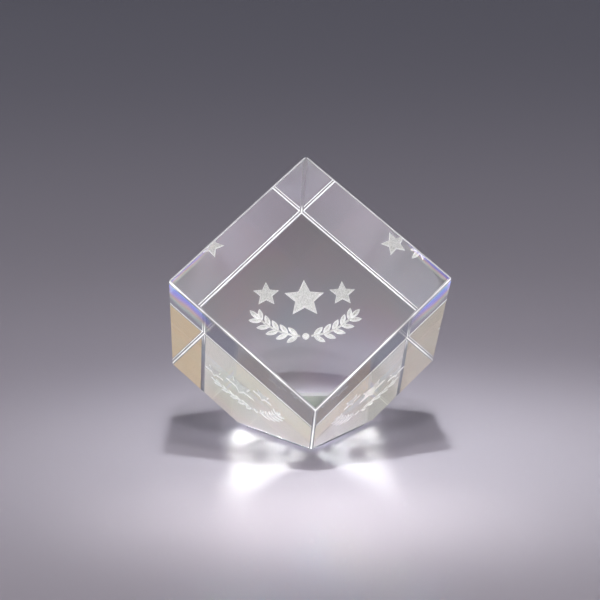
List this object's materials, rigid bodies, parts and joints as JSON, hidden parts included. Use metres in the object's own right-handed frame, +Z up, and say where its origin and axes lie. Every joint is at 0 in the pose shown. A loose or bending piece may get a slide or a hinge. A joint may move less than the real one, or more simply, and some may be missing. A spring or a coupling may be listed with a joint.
{
  "type": "crystal award",
  "caption": "Solid optical-crystal cube standing on a cut-off corner, with frosted stars and a laurel wreath etched in its back face and a thin clear pad underneath.",
  "frame": {"origin": "middle of the underside, on the vertical axis through the block's peak and the middle of its triangular base", "axes": "+Z up along the cube's body diagonal; +X to the viewer's right; -Y towards the viewer, on the side with the clear front face, so the etched back face is on the +Y side"},
  "size_m": [0.0836, 0.0966, 0.0861],
  "materials": {
    "optical_crystal": "polished optical crystal, refractive index 1.52",
    "clear_pad": "clear satin polyurethane",
    "clear_adhesive": "clear acrylic adhesive",
    "white_frost": "matte white etch fill"
  },
  "bodies": {
    "root": {"crystal_block": "optical_crystal", "base_pad": "clear_pad", "adhesive_film": "clear_adhesive", "centre_star_frost": "white_frost", "left_star_frost": "white_frost", "right_star_frost": "white_frost", "laurel_frost_left": "white_frost", "laurel_frost_right": "white_frost", "tie_frost": "white_frost"}
  },
  "joints": []
}
